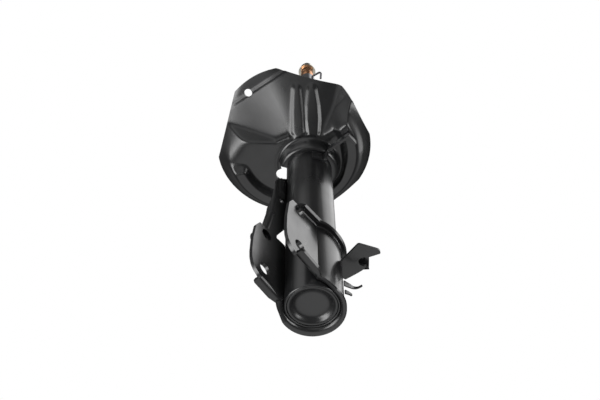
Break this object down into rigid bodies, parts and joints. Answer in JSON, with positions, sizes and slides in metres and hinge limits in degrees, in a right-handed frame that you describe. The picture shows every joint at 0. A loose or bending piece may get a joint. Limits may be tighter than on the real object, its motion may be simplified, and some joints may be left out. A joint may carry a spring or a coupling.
{
  "type": "strut assembly",
  "caption": "Suspension strut with knuckle bracket, spring seat and sliding piston rod, without its coil spring.",
  "frame": {"origin": "on the strut axis, at the centre of the dished lower face of the base cap", "axes": "+Z along the rod towards its thread, +X towards the knuckle ears, +Y along the knuckle bolts"},
  "size_m": [0.1759, 0.1769, 0.513],
  "materials": {
    "black_paint": "semi-gloss black",
    "spring_steel": "plain spring steel",
    "plain_steel": "machined steel",
    "sintered_iron": "sintered, oiled",
    "low_friction_lining": "matte lining",
    "seal_rubber": "matte rubber",
    "rod_chrome": "hard chrome",
    "yellow_zinc": "yellow zinc plate",
    "bright_zinc": "bright zinc plate"
  },
  "bodies": {
    "strut_body": {"outer_tube": "black_paint", "base_cap": "black_paint", "inner_cylinder": "plain_steel", "base_valve_body": "sintered_iron", "base_valve_discs": "spring_steel", "base_check_plate": "spring_steel", "base_valve_pin": "plain_steel", "rod_guide": "sintered_iron", "guide_bush": "low_friction_lining", "guide_o_ring": "seal_rubber", "rod_seal": "seal_rubber", "seal_washer": "plain_steel", "knuckle_bracket": "black_paint", "bracket_weld_nut": "black_paint", "side_gusset": "black_paint", "spring_seat": "black_paint", "upper_line_bracket": "black_paint", "hose_bracket": "black_paint", "sensor_clip": "black_paint", "seat_wire_clip": "spring_steel"},
    "piston_ring": {"piston_band": "low_friction_lining"},
    "rod": {"piston_rod": "rod_chrome", "piston": "sintered_iron", "intake_disc": "spring_steel", "stop_washer": "plain_steel", "rebound_discs": "spring_steel", "piston_nut": "plain_steel", "rebound_stop": "plain_steel", "rebound_bumper": "seal_rubber", "stud_spacer": "yellow_zinc", "top_nut": "bright_zinc"}
  },
  "joints": [
    {"name": "rod_slide", "type": "slide", "parent": "strut_body", "child": "piston_ring", "axis": [0, 0, 1], "range_m": [-0.13, 0]},
    {"name": "rod_turn", "type": "hinge", "parent": "piston_ring", "child": "rod", "pos_m": [0, 0, 0.25], "axis": [0, 0, 1], "continuous": true}
  ]
}
